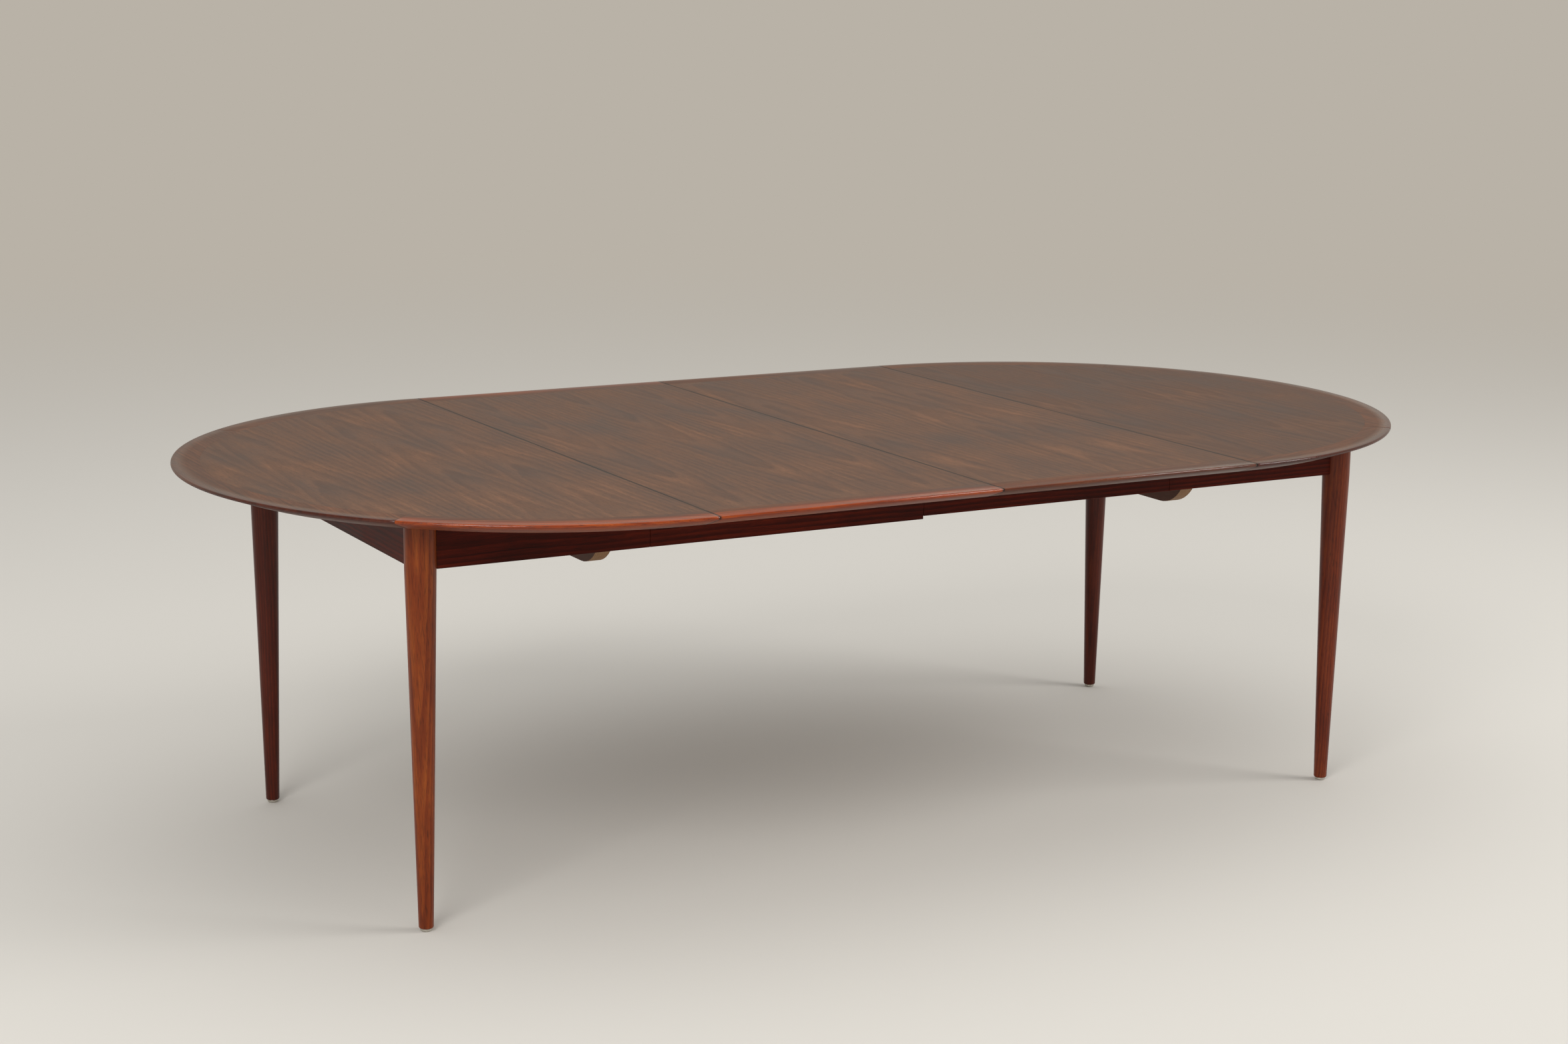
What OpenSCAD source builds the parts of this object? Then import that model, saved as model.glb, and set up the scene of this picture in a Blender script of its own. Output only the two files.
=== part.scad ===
// Round dining table that extends with two lift-out leaves, shown with both leaves in.
// X runs along the table, Z is up, and the origin is on the floor under the middle.
// One half table is drawn on the -X side, and the other half is the same parts turned half a turn.

/* [Top] */
// Height of the table
table_h = 710; // [640:1:800]
// Width across the round ends
table_w = 1316; // [1180:1:1500]
// Width of each leaf, measured along the table
leaf_w = 537; // [440:1:560]
// Straight stretch between a half's seam and the start of its round end
end_straight = 9.5; // [5:0.5:60]
// Thickness of the top
top_t = 22; // [20:0.5:30]
// Thickness of the face veneer and of the backing veneer
veneer_t = 1; // [0.6:0.1:2]
// Gap between neighbouring tops at a seam
seam_gap = 0.5; // [0.3:0.1:0.8]
// Width of the solid lipping round the edge
lipping_w = 50; // [40:1:60]
// Thickness of the lipping at its rounded edge, over the wide bevel of its underside
edge_t = 6; // [5:0.5:10]
// Width of the flat strip that the bevel leaves beside the backing veneer
under_flat_w = 2; // [1:0.5:6]

/* [Legs] */
// Distance from a half's seam to its legs' axes, along the table
seam_to_leg = 406; // [388:1:423]
// Distance from the table's middle to a leg's axis, across the table
leg_y = 395; // [360:1:420]
// Diameter of a leg where it meets the rails
leg_d = 52; // [46:1:60]
// Diameter of a leg at its foot
foot_d = 25; // [24:0.5:40]
// Height of the chamfer round the foot
foot_chamfer = 2; // [1:0.5:4]
// Diameter of the nail glide under a leg
glide_d = 20; // [16:1:22]
// Height of the nail glide
glide_h = 5; // [3:0.5:8]
// Diameter of the glide's nail
nail_d = 3; // [2:0.5:4]
// Length of the glide's nail
nail_len = 20; // [12:1:30]

/* [Frame] */
// Height of the aprons, end rails and leaf skirts
rail_h = 77; // [72:1:95]
// How much higher the lower edges of the right half's and the second leaf's rails lie
rail_step = 5.5; // [0:0.5:6]
// Thickness of the aprons, end rails and leaf skirts
rail_t = 20; // [18:1:24]
// Thickness of a tenon
tenon_t = 8; // [6:1:10]
// Height of a tenon
tenon_h = 60; // [40:1:64]
// How far a tenon reaches into its leg
tenon_len = 18; // [14:1:18]
// Leg of the triangular corner block
corner_leg = 75; // [66:1:90]
// Height of a corner block
corner_h = 46; // [36:1:60]
// Leg of the triangular glue block
glue_leg = 18; // [12:1:24]
// Length of a glue block
glue_len = 50; // [30:1:70]
// Distance from a half's seam to the middle of its cross bar
seam_to_bar = 68; // [56:1:103]
// Thickness of a cross bar
bar_t = 28; // [22:1:36]
// Height of a cross bar
bar_h = 64; // [56:1:70]
// Radius of a cross bar's rounded ends
bar_corner_r = 80; // [72:1:100]

/* [Slides] */
// Distance from the table's middle line to the middle of a slide
slide_y = 250; // [200:1:290]
// Height of a fixed runner
runner_h = 48; // [44:1:56]
// Width of a fixed runner
runner_w = 22; // [18:1:30]
// Width of a middle runner
middle_w = 34; // [32:1:44]
// Gap between a runner's end and the end rail when the table is closed
runner_end_gap = 6; // [3:0.5:15]
// How far a tongue stands out
tongue_d = 8; // [6:0.5:9]
// Height of a tongue at its root
tongue_root_h = 12; // [10:0.5:16]
// Height of a tongue at its face
tongue_face_h = 20; // [18:0.5:24]
// Clearance round a tongue in its groove
tongue_gap = 0.3; // [0.2:0.05:0.5]
// Gap between the sides of two runners
side_gap = 0.5; // [0.3:0.1:1]
// Clearance above and under a runner that slides past
pass_gap = 0.4; // [0.3:0.1:0.6]
// Clearance between a moving runner and a cross bar
bar_gap = 1; // [0.6:0.1:2]
// How far the table pulls apart past its leaves
over_travel = 50; // [30:1:60]
// Diameter of a stop pin
stop_d = 6; // [4:0.5:7]
// Distance from a middle runner's end to its stop pin
stop_inset = 20; // [12:1:40]
// Width of the tie under the middle runners
tie_w = 60; // [40:1:80]
// Thickness of the tie
tie_t = 20; // [16:1:28]

/* [Fixings] */
// Diameter of an alignment pin
pin_d = 8; // [6:0.5:10]
// How far an alignment pin stands out, and how deep it is set
pin_reach = 15; // [10:1:20]
// Distance from the middle line to the outer alignment pin
pin_outer_y = 480; // [420:1:540]
// Distance from the middle line to the inner alignment pin
pin_inner_y = 160; // [120:1:190]
// Radial clearance of an alignment pin in its socket
pin_gap = 0.1; // [0.05:0.01:0.2]
// Diameter of a wood screw's shank
screw_d = 4; // [3:0.5:5]
// Diameter of a wood screw's head
screw_head_d = 8; // [7:0.5:9]
// Height of a wood screw's head
screw_head_h = 3; // [2:0.5:4]
// How far a screw reaches into the piece that it holds
screw_bite = 14; // [10:1:16]
// How deep a screw's head is sunk into a runner
screw_sink = 26; // [18:1:32]
// Diameter of a leg bolt
bolt_d = 8; // [6:1:10]
// Distance from a leg's axis to the bolt's inner end
bolt_start = 13; // [12:0.5:16]
// How far a leg bolt stands out of its corner block
bolt_end = 12; // [10:0.5:18]
// Thickness of a leg bolt's washer
washer_t = 1.5; // [1:0.5:3]
// Diameter of a leg bolt's washer
washer_d = 20; // [16:1:24]
// Width of a leg bolt's nut across its corners
nut_d = 15; // [12:0.5:18]
// Height of a leg bolt's nut
nut_h = 6.5; // [5:0.5:8]

/* [Hidden] */
$fn = 96;

// How far a cutting shape runs past the face that it cuts
overrun = 1;
// Sides of the table across Y
near = -1;
far = 1;

// Heights of the top
under_z = table_h - top_t;
core_z = under_z + veneer_t;
core_t = top_t - 2 * veneer_t;
veneer_z = table_h - veneer_t;
pin_z = core_z + core_t / 2;

// Outline of the top
edge_r = table_w / 2;
core_r = edge_r - lipping_w;
round_x = -leaf_w - end_straight;
half_seam_x = -leaf_w - seam_gap / 2;
leaf_l = leaf_w - seam_gap;
nose_r = edge_t / 2;
// The end segment of the lipping covers this angle each way from the end
lipping_joint_angle = 45;

// Frame
leg_x = leaf_w + seam_to_leg;
bar_x = leaf_w + seam_to_bar;
leg_r = leg_d / 2;
rail_z = under_z - rail_h;
end_rail_in_x = -leg_x + rail_t / 2;
apron_in_y = leg_y - rail_t / 2;
tenon_z = rail_z + rail_step + (rail_h - rail_step - tenon_h) / 2;
corner_z = under_z - corner_h;
bolt_z = corner_z + corner_h / 2;
// A diagonal over a square corner
diagonal_share = sqrt(0.5);
// From a leg's axis to the face of its corner block that the nut sits on
bolt_face = (rail_t + corner_leg) * diagonal_share;

// Slides
runner_len = 2 * (-end_rail_in_x - leaf_w - runner_end_gap);
runner_x = end_rail_in_x + runner_end_gap;
runner_z = under_z - runner_h;
middle_z = runner_z + pass_gap;
middle_h = runner_h - 2 * pass_gap;
slide_z = runner_z + runner_h / 2;
outer_runner_y = slide_y + middle_w / 2 + side_gap;
inner_runner_y = slide_y - middle_w / 2 - side_gap;
stop_x = runner_len / 2 - stop_inset;
// The channel that a stop pin runs in is cut into a tongue's face
stop_gap = 0.3;
stop_reach = tongue_d / 2;
channel_d = stop_reach + stop_gap;
channel_h = stop_d + 2 * stop_gap;
channel_start = -stop_x - leaf_w - stop_d / 2 - stop_gap;
channel_end = -stop_x + over_travel / 2 + stop_d / 2 + stop_gap;
bar_z = runner_z - bar_h;
bar_top_z = runner_z - bar_gap;
tie_top_z = runner_z - bar_gap;
tie_z = tie_top_z - tie_t;

// Flats that make up a cross bar's rounded corner, and the angle that they turn up to the bar's top
corner_steps = 10;
corner_turn = acos(1 - (bar_h - bar_gap) / bar_corner_r);
// Flats round the nose of the lipping
nose_steps = 32;

// Screws that hold a runner to its top, as shares of the stretch that the top covers
runner_screw_shares = [0.08, 0.42, 0.66];
// Screws through a cross bar, as shares of its thickness from its middle
bar_screw_shares = [-0.2, 0.2];
// Screws through the tie, as shares of its width from its middle
tie_screw_shares = [-0.25, 0.25];
// Glue blocks, as shares of the apron between leg and seam, and of the end rail and the leaf
apron_block_shares = [0.38, 0.86];
rail_block_shares = [-0.16, 0.16];
leaf_block_shares = [0.25, 0.75];

// The other half is the same half turned round
module other_half() {
    rotate([0, 0, 180]) children();
}

// What follows is drawn for the +Y side and mirrored to the side asked for; -side does so for the -Y side
module on_side(side) {
    mirror([0, side < 0 ? 1 : 0, 0]) children();
}

// Outline of a half's top, round at its end and straight at its seam
module half_outline(r) {
    translate([round_x, 0]) {
        intersection() {
            circle(r);
            translate([-r - overrun, -r - overrun]) square([r + overrun, 2 * (r + overrun)]);
        }
        translate([0, -r]) square([half_seam_x - round_x, 2 * r]);
    }
}

// Section of the lipping, with its inner face at x = 0 and a wide bevel under its rounded edge
module lipping_section() {
    hull() {
        square([under_flat_w, top_t]);
        translate([lipping_w - nose_r, top_t - nose_r]) circle(nose_r, $fn = nose_steps);
    }
}

// A round wood screw that points up, its head's underside at z = 0 and its length above that
module screw(length) {
    translate([0, 0, -screw_head_h]) cylinder(h = screw_head_h, d = screw_head_d);
    cylinder(h = length, d = screw_d);
}

// The hole for that screw, open at the bottom for the depth that its head is sunk
module screw_hole(length, sink) {
    translate([0, 0, -screw_head_h - sink - overrun])
        cylinder(h = screw_head_h + sink + overrun, d = screw_head_d);
    cylinder(h = length, d = screw_d);
}

// Places of the screws that hold the runner on one side of a half to its top
module at_runner_screws(y) {
    for (share = runner_screw_shares)
        translate([runner_x + share * (half_seam_x - runner_x), y, runner_z + screw_sink]) children();
}

// Places of the screws that hold a half's cross bar to its two runners
module at_bar_screws() {
    for (y = [near * (outer_runner_y + runner_w / 2), far * (inner_runner_y - runner_w / 2)])
        for (share = bar_screw_shares)
            translate([-bar_x + share * bar_t, y, bar_z + screw_head_h]) children();
}

module runner_screw_holes() {
    hole_len = runner_h - screw_sink + screw_bite;
    for (y = [near * (outer_runner_y + runner_w / 2), far * (inner_runner_y - runner_w / 2)])
        at_runner_screws(y) screw_hole(hole_len, screw_sink);
}

module bar_screw_holes() {
    at_bar_screws() screw_hole(bar_h - screw_head_h + screw_bite, 0);
}

// A round hole into the seam edge of a top at x = 0, towards -X
module edge_hole(r) {
    rotate([0, -90, 0]) cylinder(h = pin_reach + overrun, r = r);
}

// Places of the pins along a half's seam edge, seen from that half
module at_half_pins() {
    for (y = [-pin_outer_y, pin_inner_y]) translate([0, y, pin_z]) children();
}

// Places of the sockets beside them, which take the other half's pins
module at_half_sockets() {
    for (y = [pin_outer_y, -pin_inner_y]) translate([0, y, pin_z]) children();
}

// A socket that is open at the bottom, so that the leaf lifts off the pin, cut towards +X from x = 0
module pin_slot() {
    r = pin_d / 2 + pin_gap;
    translate([-overrun, 0, 0]) {
        rotate([0, 90, 0]) cylinder(h = pin_reach + 2 * overrun, r = r);
        translate([0, -r, under_z - overrun - pin_z])
            cube([pin_reach + 2 * overrun, 2 * r, pin_z - under_z + overrun]);
    }
}

// The half's top

module top_core() {
    color("#b08a5a") difference() {
        translate([0, 0, core_z]) linear_extrude(core_t) half_outline(core_r);
        translate([half_seam_x, 0, 0]) {
            at_half_pins() edge_hole(pin_d / 2);
            at_half_sockets() edge_hole(pin_d / 2 + pin_gap);
        }
        runner_screw_holes();
    }
}

module top_veneer() {
    color("#9a6238") translate([0, 0, veneer_z]) linear_extrude(veneer_t) half_outline(core_r);
}

module backing_veneer() {
    color("#8a5a36") difference() {
        translate([0, 0, under_z]) linear_extrude(veneer_t) half_outline(core_r);
        runner_screw_holes();
    }
}

// The side lipping runs straight from the seam and then round to the joint
module lipping_side(side) {
    color("#a4602c") on_side(side) translate([round_x, 0, under_z]) {
        rotate([0, 0, 90]) rotate_extrude(angle = 90 - lipping_joint_angle)
            translate([core_r, 0]) lipping_section();
        translate([0, core_r, 0]) rotate([90, 0, 90])
            linear_extrude(half_seam_x - round_x) lipping_section();
    }
}

module lipping_end() {
    color("#8f4f26") translate([round_x, 0, under_z]) rotate([0, 0, 180 - lipping_joint_angle])
        rotate_extrude(angle = 2 * lipping_joint_angle) translate([core_r, 0]) lipping_section();
}

// The half's frame

module leg(side) {
    color("#6b3419") translate([-leg_x, side * leg_y, 0]) difference() {
        union() {
            translate([0, 0, rail_z]) cylinder(h = rail_h, d = leg_d);
            translate([0, 0, glide_h + foot_chamfer])
                cylinder(h = rail_z - glide_h - foot_chamfer, d1 = foot_d, d2 = leg_d);
            translate([0, 0, glide_h])
                cylinder(h = foot_chamfer, d1 = foot_d - 2 * foot_chamfer, d2 = foot_d);
        }
        translate([0, 0, glide_h - overrun]) cylinder(h = nail_len + overrun, d = nail_d);
        on_side(side) {
            mortise();
            rotate([0, 0, -90]) mortise();
            corner_bolt_hole();
        }
    }
}

// Slot in a leg for the tenon that comes from its +X side
module mortise() {
    translate([leg_r - tenon_len, -tenon_t / 2, tenon_z]) cube([leg_r, tenon_t, tenon_h]);
}

// Hole in a leg for its bolt, which comes in from the inner corner
module corner_bolt_hole() {
    rotate([0, 0, -45]) translate([bolt_start, 0, bolt_z]) rotate([0, 90, 0])
        cylinder(h = leg_r, d = bolt_d);
}

module foot_glides() {
    for (side = [near, far]) color("#c9c9c6") translate([-leg_x, side * leg_y, 0]) {
        translate([0, 0, glide_h / 2]) cylinder(h = glide_h / 2, d = glide_d);
        cylinder(h = glide_h / 2, d1 = glide_d - glide_h, d2 = glide_d);
        translate([0, 0, glide_h]) cylinder(h = nail_len, d = nail_d);
    }
}

// A rail along +X from a leg's axis, shouldered to the leg and with a tenon into it.
// Its lower edge lies at rail_z plus the rise
module rail_end(length, rise) {
    difference() {
        translate([0, -rail_t / 2, rail_z + rise]) cube([length, rail_t, rail_h - rise]);
        translate([0, 0, rail_z - overrun]) cylinder(h = rail_h + 2 * overrun, d = leg_d);
    }
    translate([leg_r - tenon_len, -tenon_t / 2, tenon_z]) cube([tenon_len + rail_t, tenon_t, tenon_h]);
}

module end_rail(rise) {
    color("#74391c") translate([-leg_x, 0, 0]) for (side = [near, far])
        on_side(side) translate([0, leg_y, 0]) rotate([0, 0, -90]) rail_end(leg_y, rise);
}

module apron(side, rise) {
    color("#74391c") translate([-leg_x, side * leg_y, 0]) rail_end(half_seam_x + leg_x, rise);
}

// Outline of the corner block, with its square corner in the frame's inner corner
module corner_outline() {
    difference() {
        translate([end_rail_in_x, -apron_in_y]) polygon([[0, 0], [corner_leg, 0], [0, corner_leg]]);
        translate([-leg_x, -leg_y]) circle(leg_r);
    }
}

module corner_blocks() {
    color("#c29a66") for (side = [near, far]) on_side(-side) difference() {
        translate([0, 0, corner_z]) linear_extrude(corner_h) corner_outline();
        translate([-leg_x, -leg_y, bolt_z]) rotate([0, 0, 45]) rotate([0, 90, 0])
            cylinder(h = bolt_face + overrun, d = bolt_d);
    }
}

module leg_bolts() {
    color("#b9b9b4") for (side = [near, far]) on_side(-side)
        translate([-leg_x, -leg_y, bolt_z]) rotate([0, 0, 45]) rotate([0, 90, 0]) {
            translate([0, 0, bolt_start]) cylinder(h = bolt_face + bolt_end - bolt_start, d = bolt_d);
            translate([0, 0, bolt_face]) cylinder(h = washer_t, d = washer_d);
            translate([0, 0, bolt_face + washer_t]) cylinder(h = nut_h, d = nut_d, $fn = 6);
        }
}

// A triangular block glued into the corner between a rail, on its -Y side, and the top
module glue_block() {
    translate([-glue_len / 2, 0, under_z]) rotate([90, 0, 90]) linear_extrude(glue_len)
        polygon([[0, 0], [glue_leg, 0], [0, -glue_leg]]);
}

module glue_blocks() {
    color("#c29a66") {
        for (side = [near, far]) on_side(-side)
            for (share = apron_block_shares)
                translate([-leg_x + share * (half_seam_x + leg_x), -apron_in_y, 0]) glue_block();
        for (share = rail_block_shares)
            translate([end_rail_in_x, share * 2 * leg_y, 0]) rotate([0, 0, -90]) glue_block();
    }
}

// The slides

// Section of a tongue that stands out along +X of the drawing, centred on y = 0
module tongue_section(gap) {
    polygon([[-overrun, -tongue_root_h / 2 - gap], [0, -tongue_root_h / 2 - gap],
        [tongue_d + gap, -tongue_face_h / 2 - gap], [tongue_d + gap, tongue_face_h / 2 + gap],
        [0, tongue_root_h / 2 + gap], [-overrun, tongue_root_h / 2 + gap]]);
}

// A fixed runner of the -X half, with its sliding face at y = 0 and its tongue towards +Y
module fixed_runner() {
    difference() {
        union() {
            translate([runner_x, -runner_w, runner_z]) cube([runner_len, runner_w, runner_h]);
            translate([runner_x, 0, slide_z]) rotate([90, 0, 90])
                linear_extrude(runner_len) tongue_section(0);
        }
        // The top edge is eased where the other half and the leaves pass over it
        translate([half_seam_x, -runner_w - overrun, under_z - pass_gap])
            cube([runner_len, runner_w + 2 * overrun, pass_gap + overrun]);
        // The channel that the stop pin runs in
        translate([channel_start, tongue_d - channel_d, slide_z - channel_h / 2])
            cube([channel_end - channel_start, channel_d + overrun, channel_h]);
    }
}

module outer_runner() {
    color("#d3b183") difference() {
        translate([0, near * outer_runner_y, 0]) fixed_runner();
        runner_screw_holes();
        bar_screw_holes();
    }
}

module inner_runner() {
    color("#d3b183") difference() {
        translate([0, far * inner_runner_y, 0]) fixed_runner();
        runner_screw_holes();
        bar_screw_holes();
    }
}

// Rounded end of the cross bar, from its underside up to its top
function end_arc(side) = [for (step = [0:corner_steps]) let (angle = corner_turn * step / corner_steps)
    [side * (apron_in_y - bar_corner_r * (1 - sin(angle))), bar_z + bar_corner_r * (1 - cos(angle))]];

// Section of the cross bar across the table
module bar_section() {
    near_end = end_arc(near);
    polygon(concat(end_arc(far), [for (step = [corner_steps:-1:0]) near_end[step]]));
}

module cross_bar() {
    color("#d9b98a") difference() {
        union() {
            translate([-bar_x - bar_t / 2, 0, 0]) rotate([90, 0, 90]) linear_extrude(bar_t) bar_section();
            // Seats of the half's own two runners
            translate([-bar_x - bar_t / 2, near * outer_runner_y - runner_w, bar_top_z - overrun])
                cube([bar_t, runner_w, bar_gap + overrun]);
            translate([-bar_x - bar_t / 2, far * inner_runner_y - runner_w, bar_top_z - overrun])
                cube([bar_t, runner_w, bar_gap + overrun]);
        }
        bar_screw_holes();
    }
}

module slide_screws() {
    color("#c2b280") {
        for (y = [near * (outer_runner_y + runner_w / 2), far * (inner_runner_y - runner_w / 2)])
            at_runner_screws(y) screw(runner_h - screw_sink + screw_bite);
        at_bar_screws() screw(bar_h - screw_head_h + screw_bite);
    }
}

module edge_pins() {
    color("#d9b98a") translate([half_seam_x - pin_reach, 0, 0])
        at_half_pins() rotate([0, 90, 0]) cylinder(h = 2 * pin_reach, d = pin_d);
}

// The sliding middle of the two slides

// The stop pin meets the outer tongue at one end and the inner tongue at the other
module middle_runner(side) {
    color("#cda877") difference() {
        translate([-runner_len / 2, side * slide_y - middle_w / 2, middle_z])
            cube([runner_len, middle_w, middle_h]);
        for (turn = [0, 180]) translate([0, side * slide_y, slide_z]) rotate([0, 0, turn])
            translate([-runner_len / 2 - overrun, -middle_w / 2 - side_gap, 0]) rotate([90, 0, 90])
                linear_extrude(runner_len + 2 * overrun) tongue_section(tongue_gap);
        stop_pins_of(side);
        at_tie_screws(side) screw_hole(screw_length(), 0);
    }
}

function screw_length() = tie_t + bar_gap + pass_gap - screw_head_h + screw_bite;

module at_tie_screws(side) {
    for (share = tie_screw_shares)
        translate([share * tie_w, side * slide_y, tie_z + screw_head_h]) children();
}

// The left end's pin points at the left half's runner, and the right end's at the right half's
module stop_pins_of(side) {
    for (turn = [0, 180]) translate([0, side * slide_y, slide_z]) rotate([0, 0, turn])
        translate([-stop_x, -middle_w / 2 - side_gap + tongue_d - stop_reach, 0])
            rotate([-90, 0, 0]) cylinder(h = stop_reach + tongue_d, d = stop_d);
}

module stop_pins() {
    color("#b9b9b4") for (side = [near, far]) stop_pins_of(side);
}

module middle_tie() {
    color("#cda877") difference() {
        union() {
            translate([-tie_w / 2, -slide_y - middle_w / 2, tie_z])
                cube([tie_w, 2 * slide_y + middle_w, tie_t]);
            for (side = [near, far])
                translate([-tie_w / 2, side * slide_y - middle_w / 2, tie_top_z - overrun])
                    cube([tie_w, middle_w, middle_z - tie_top_z + overrun]);
        }
        for (side = [near, far]) at_tie_screws(side) screw_hole(screw_length(), 0);
    }
}

module tie_screws() {
    color("#c2b280") for (side = [near, far]) at_tie_screws(side) screw(screw_length());
}

// The leaves, each drawn from x = 0 at its left edge

module at_leaf(number) {
    translate([(number - 2) * leaf_w + seam_gap / 2, 0, 0]) children();
}

// Slots for the pins of the neighbour on the left
module left_edge_slots() {
    at_half_pins() pin_slot();
}

// Slots for the pins of the right half
module right_edge_slots() {
    translate([leaf_l, 0, 0]) at_half_sockets() mirror([1, 0, 0]) pin_slot();
}

module leaf_core(number) {
    color("#b08a5a") at_leaf(number) difference() {
        translate([0, -core_r, core_z]) cube([leaf_l, 2 * core_r, core_t]);
        left_edge_slots();
        right_edge_slots();
        if (number == 1) translate([leaf_l, 0, 0]) at_half_pins() edge_hole(pin_d / 2);
    }
}

module leaf_veneer(number) {
    color("#9a6238") at_leaf(number) translate([0, -core_r, veneer_z]) cube([leaf_l, 2 * core_r, veneer_t]);
}

module leaf_backing(number) {
    color("#8a5a36") at_leaf(number) difference() {
        translate([0, -core_r, under_z]) cube([leaf_l, 2 * core_r, veneer_t]);
        left_edge_slots();
        right_edge_slots();
    }
}

module leaf_lippings(number) {
    color("#a4602c") at_leaf(number) for (side = [near, far]) on_side(side)
        translate([0, core_r, under_z]) rotate([90, 0, 90]) linear_extrude(leaf_l) lipping_section();
}

module leaf_skirt(number, side, rise) {
    color("#74391c") at_leaf(number) translate([0, side * leg_y - rail_t / 2, rail_z + rise])
        cube([leaf_l, rail_t, rail_h - rise]);
}

module leaf_glue_blocks(number) {
    color("#c29a66") at_leaf(number) for (side = [near, far]) on_side(-side)
        for (share = leaf_block_shares) translate([share * leaf_l, -apron_in_y, 0]) glue_block();
}

module leaf_pins() {
    color("#d9b98a") at_leaf(1) translate([leaf_l - pin_reach, 0, 0])
        at_half_pins() rotate([0, 90, 0]) cylinder(h = 2 * pin_reach, d = pin_d);
}

top_core();  // left_top_core
top_veneer();  // left_top_veneer
backing_veneer();  // left_backing_veneer
lipping_side(near);  // left_lipping_near
lipping_end();  // left_lipping_end
lipping_side(far);  // left_lipping_far
leg(near);  // left_leg_near
leg(far);  // left_leg_far
foot_glides();  // left_foot_glides
end_rail(0);  // left_end_rail
apron(near, 0);  // left_apron_near
apron(far, 0);  // left_apron_far
corner_blocks();  // left_corner_blocks
leg_bolts();  // left_leg_bolts
glue_blocks();  // left_glue_blocks
outer_runner();  // left_outer_runner
inner_runner();  // left_inner_runner
cross_bar();  // left_cross_bar
slide_screws();  // left_slide_screws
edge_pins();  // left_edge_pins
other_half() top_core();  // right_top_core
other_half() top_veneer();  // right_top_veneer
other_half() backing_veneer();  // right_backing_veneer
other_half() lipping_side(far);  // right_lipping_near
other_half() lipping_end();  // right_lipping_end
other_half() lipping_side(near);  // right_lipping_far
other_half() leg(far);  // right_leg_near
other_half() leg(near);  // right_leg_far
other_half() foot_glides();  // right_foot_glides
other_half() end_rail(rail_step);  // right_end_rail
other_half() apron(far, rail_step);  // right_apron_near
other_half() apron(near, rail_step);  // right_apron_far
other_half() corner_blocks();  // right_corner_blocks
other_half() leg_bolts();  // right_leg_bolts
other_half() glue_blocks();  // right_glue_blocks
other_half() outer_runner();  // right_outer_runner
other_half() inner_runner();  // right_inner_runner
other_half() cross_bar();  // right_cross_bar
other_half() slide_screws();  // right_slide_screws
other_half() edge_pins();  // right_edge_pins
middle_runner(near);  // middle_runner_near
middle_runner(far);  // middle_runner_far
middle_tie();
tie_screws();
stop_pins();
leaf_core(1);  // leaf_1_core
leaf_veneer(1);  // leaf_1_veneer
leaf_backing(1);  // leaf_1_backing
leaf_lippings(1);  // leaf_1_lippings
leaf_skirt(1, near, 0);  // leaf_1_skirt_near
leaf_skirt(1, far, 0);  // leaf_1_skirt_far
leaf_glue_blocks(1);  // leaf_1_glue_blocks
leaf_pins();  // leaf_1_pins
leaf_core(2);  // leaf_2_core
leaf_veneer(2);  // leaf_2_veneer
leaf_backing(2);  // leaf_2_backing
leaf_lippings(2);  // leaf_2_lippings
leaf_skirt(2, near, rail_step);  // leaf_2_skirt_near
leaf_skirt(2, far, rail_step);  // leaf_2_skirt_far
leaf_glue_blocks(2);  // leaf_2_glue_blocks
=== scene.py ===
import math

import bmesh
import bpy
from mathutils import Matrix, Vector


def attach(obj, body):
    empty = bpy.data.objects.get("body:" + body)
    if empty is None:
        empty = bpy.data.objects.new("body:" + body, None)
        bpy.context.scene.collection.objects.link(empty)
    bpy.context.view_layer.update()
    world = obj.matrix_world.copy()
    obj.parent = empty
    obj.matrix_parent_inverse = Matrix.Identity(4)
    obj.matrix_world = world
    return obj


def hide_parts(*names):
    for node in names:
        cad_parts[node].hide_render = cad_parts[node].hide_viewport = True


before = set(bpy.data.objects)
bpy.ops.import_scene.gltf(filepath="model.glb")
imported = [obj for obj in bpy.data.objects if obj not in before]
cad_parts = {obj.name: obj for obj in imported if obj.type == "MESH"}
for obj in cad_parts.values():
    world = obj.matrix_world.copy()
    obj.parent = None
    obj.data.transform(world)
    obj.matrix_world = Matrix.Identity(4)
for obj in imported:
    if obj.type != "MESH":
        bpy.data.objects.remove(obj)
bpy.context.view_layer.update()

# Studio. A pale floor that runs on into the backdrop, and three large soft lamps. The lamps in front stand
# to the left and to the right, as the shadows of the legs show, and the camera stands where the photograph
# was taken from.


def linear(code):
    """Turns an sRGB hex colour to linear values."""
    levels = [int(code[i:i + 2], 16) / 255 for i in (1, 3, 5)]
    return [v / 12.92 if v <= 0.04045 else ((v + 0.055) / 1.055) ** 2.4 for v in levels] + [1]


def add(tree, kind, inputs=None, **settings):
    """Adds a shader node with its settings, and gives each of its inputs a value or a link."""
    made = tree.nodes.new("ShaderNode" + kind)
    for name, value in settings.items():
        setattr(made, name, value)
    for socket, value in (inputs or {}).items():
        if isinstance(value, bpy.types.NodeSocket):
            tree.links.new(value, made.inputs[socket])
        else:
            made.inputs[socket].default_value = value
    return made


scene = bpy.context.scene
scene.view_settings.view_transform = "Standard"

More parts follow.
